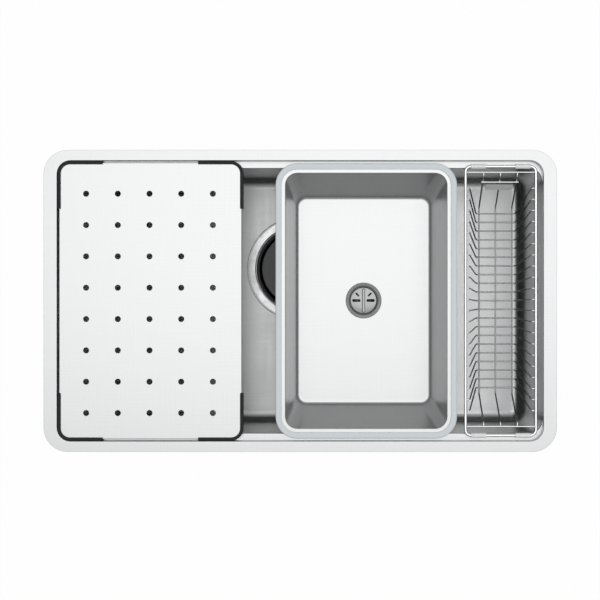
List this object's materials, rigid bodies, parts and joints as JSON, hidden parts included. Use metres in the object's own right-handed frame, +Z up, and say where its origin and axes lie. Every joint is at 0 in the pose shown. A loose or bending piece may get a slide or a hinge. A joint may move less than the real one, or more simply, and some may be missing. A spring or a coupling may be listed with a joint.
{
  "type": "workstation kitchen sink",
  "caption": "Drop-in workstation kitchen sink: a steel bowl with ledges that carry a draining tray, a sliding rinsing basin and a wire dish rack, over a lidded strainer drain.",
  "frame": {"origin": "middle of the worktop cut-out, at the level of the worktop's surface under the rim seal", "axes": "+X along the sink to the right, +Y to the back, +Z up"},
  "size_m": [0.85, 0.5, 0.3896],
  "materials": {
    "brushed_sheet": "stainless sheet, fine cross-brushed satin",
    "bright_steel": "polished stainless wire and pressings",
    "dark_lid": "dark satin coated steel",
    "grey_trim": "pale blue-grey moulded edge trim",
    "black_rubber": "black rubber",
    "black_plastic": "black moulded plastic",
    "clear_sleeve": "milky translucent sleeve",
    "zinc_steel": "zinc-plated steel",
    "pad_rubber": "dark grey bitumen rubber pad"
  },
  "bodies": {
    "sink": {"sink_bowl": "brushed_sheet", "rim_seal": "black_rubber", "sound_pad_front": "pad_rubber", "sound_pad_back": "pad_rubber", "sound_pad_left": "pad_rubber", "sound_pad_right": "pad_rubber", "sound_pad_floor": "pad_rubber", "clip_bracket_1": "zinc_steel", "clip_screw_1": "zinc_steel", "clip_bracket_2": "zinc_steel", "clip_screw_2": "zinc_steel", "clip_bracket_3": "zinc_steel", "clip_screw_3": "zinc_steel", "clip_bracket_4": "zinc_steel", "clip_screw_4": "zinc_steel", "clip_bracket_5": "zinc_steel", "clip_screw_5": "zinc_steel", "clip_bracket_6": "zinc_steel", "clip_screw_6": "zinc_steel", "clip_bracket_7": "zinc_steel", "clip_screw_7": "zinc_steel", "clip_bracket_8": "zinc_steel", "clip_screw_8": "zinc_steel", "drain_cup": "bright_steel", "drain_seal_upper": "black_rubber", "drain_seal_lower": "black_rubber", "drain_lock_ring": "black_plastic", "outlet_washer": "black_rubber", "outlet_nut": "black_plastic", "tailpiece": "black_plastic"},
    "tray": {"tray_plate": "brushed_sheet", "tray_guard_back_left": "black_rubber", "tray_guard_back_right": "black_rubber", "tray_guard_front_left": "black_rubber", "tray_guard_front_right": "black_rubber"},
    "basin": {"basin_tub": "brushed_sheet", "basin_edge_trim": "grey_trim", "basin_drain_cup": "bright_steel", "basin_drain_seal": "black_rubber", "basin_drain_nut": "black_plastic"},
    "plug": {"basin_plug": "bright_steel"},
    "rack": {"rack_frame": "bright_steel", "rack_wires": "bright_steel", "rack_plate": "bright_steel", "rack_sleeve_back_left": "clear_sleeve", "rack_sleeve_back_right": "clear_sleeve", "rack_sleeve_front_left": "clear_sleeve", "rack_sleeve_front_right": "clear_sleeve"},
    "basket": {"strainer_basket": "dark_lid"},
    "lid": {"strainer_lid": "dark_lid", "strainer_knob": "dark_lid"}
  },
  "joints": [
    {"name": "tray_lift", "type": "slide", "parent": "sink", "child": "tray", "axis": [0, 0, 1], "range_m": [0, 0.06]},
    {"name": "basin_slide", "type": "slide", "parent": "sink", "child": "basin", "axis": [1, 0, 0], "range_m": [-0.052, 0.01]},
    {"name": "plug_lift", "type": "slide", "parent": "basin", "child": "plug", "axis": [0, 0, 1], "range_m": [0, 0.03]},
    {"name": "rack_lift", "type": "slide", "parent": "sink", "child": "rack", "axis": [0, 0, 1], "range_m": [0, 0.1]},
    {"name": "basket_lift", "type": "slide", "parent": "sink", "child": "basket", "axis": [0, 0, 1], "range_m": [0, 0.06]},
    {"name": "lid_lift", "type": "slide", "parent": "basket", "child": "lid", "axis": [0, 0, 1], "range_m": [0, 0.025]}
  ]
}
